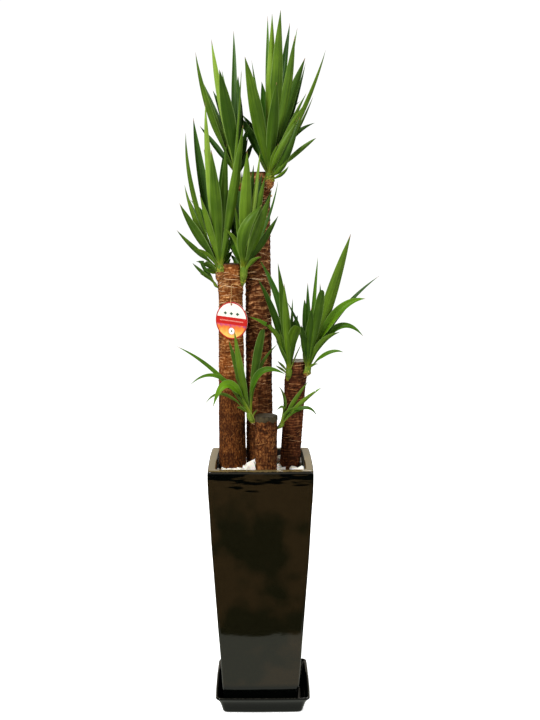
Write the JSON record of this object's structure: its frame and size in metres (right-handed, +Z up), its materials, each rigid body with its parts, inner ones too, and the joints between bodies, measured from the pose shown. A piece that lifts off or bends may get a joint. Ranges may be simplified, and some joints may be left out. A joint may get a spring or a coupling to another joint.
{
  "type": "potted yucca",
  "caption": "Cane yucca of stepped heights with upright sword-leaf shoots, in a tall tapered square glazed pot on a square saucer, dressed with white stones and a hang tag.",
  "frame": {"origin": "centre of the saucer's flat underside, on the floor", "axes": "+Z up the canes, -Y out of the pot's front side, +X to the right seen from the front"},
  "size_m": [0.502, 0.3122, 1.757],
  "materials": {
    "black_glaze": "gloss black glaze",
    "brown_black_glaze": "gloss brown-black glaze, thinner and greyer on the rim",
    "black_plastic": "matt black moulded mesh",
    "pumice": "loose pale pumice",
    "potting_soil": "dark damp potting soil",
    "white_stone": "crushed white stone",
    "bark_fibrous": "fibrous ringed bark, straw coloured above, cork below",
    "bark_dark": "dark ringed fibrous bark",
    "bark_ringed": "dark reddish bark in fine rings",
    "bark_cork": "smoother cork bark",
    "wax_brown": "dark brown sealing wax",
    "wax_brown_tall": "dark brown sealing wax",
    "wax_pale": "pale grey sealing wax",
    "wax_grey_green": "grey-green sealing wax",
    "printed_card": "satin printed card",
    "paper_twine": "twisted orange-yellow twine",
    "leaf_tall_cane_shoot_left": "satin green leaf",
    "leaf_tall_cane_shoot_right": "satin green leaf",
    "leaf_left_cane_shoot_left": "satin green leaf",
    "leaf_left_cane_side_bud": "satin green leaf",
    "leaf_left_cane_shoot_right": "satin green leaf",
    "leaf_right_cane_shoot_left": "satin green leaf",
    "leaf_right_cane_shoot_right": "satin green leaf",
    "leaf_short_cane_shoot_left": "satin green leaf",
    "leaf_short_cane_shoot_right": "satin green leaf"
  },
  "bodies": {
    "root": {"saucer": "black_glaze", "pot": "brown_black_glaze", "drain_net": "black_plastic", "drainage_gravel": "pumice", "soil": "potting_soil", "top_stones": "white_stone", "left_cane": "bark_fibrous", "tall_cane": "bark_dark", "right_cane": "bark_ringed", "short_cane": "bark_cork", "left_cap": "wax_brown", "tall_cap": "wax_brown_tall", "right_cap": "wax_pale", "short_cap": "wax_grey_green", "hang_tag": "printed_card", "tag_tie": "paper_twine", "tall_cane_shoot_left": "leaf_tall_cane_shoot_left", "tall_cane_shoot_right": "leaf_tall_cane_shoot_right", "left_cane_shoot_left": "leaf_left_cane_shoot_left", "left_cane_side_bud": "leaf_left_cane_side_bud", "left_cane_shoot_right": "leaf_left_cane_shoot_right", "right_cane_shoot_left": "leaf_right_cane_shoot_left", "right_cane_shoot_right": "leaf_right_cane_shoot_right", "short_cane_shoot_left": "leaf_short_cane_shoot_left", "short_cane_shoot_right": "leaf_short_cane_shoot_right"}
  },
  "joints": []
}
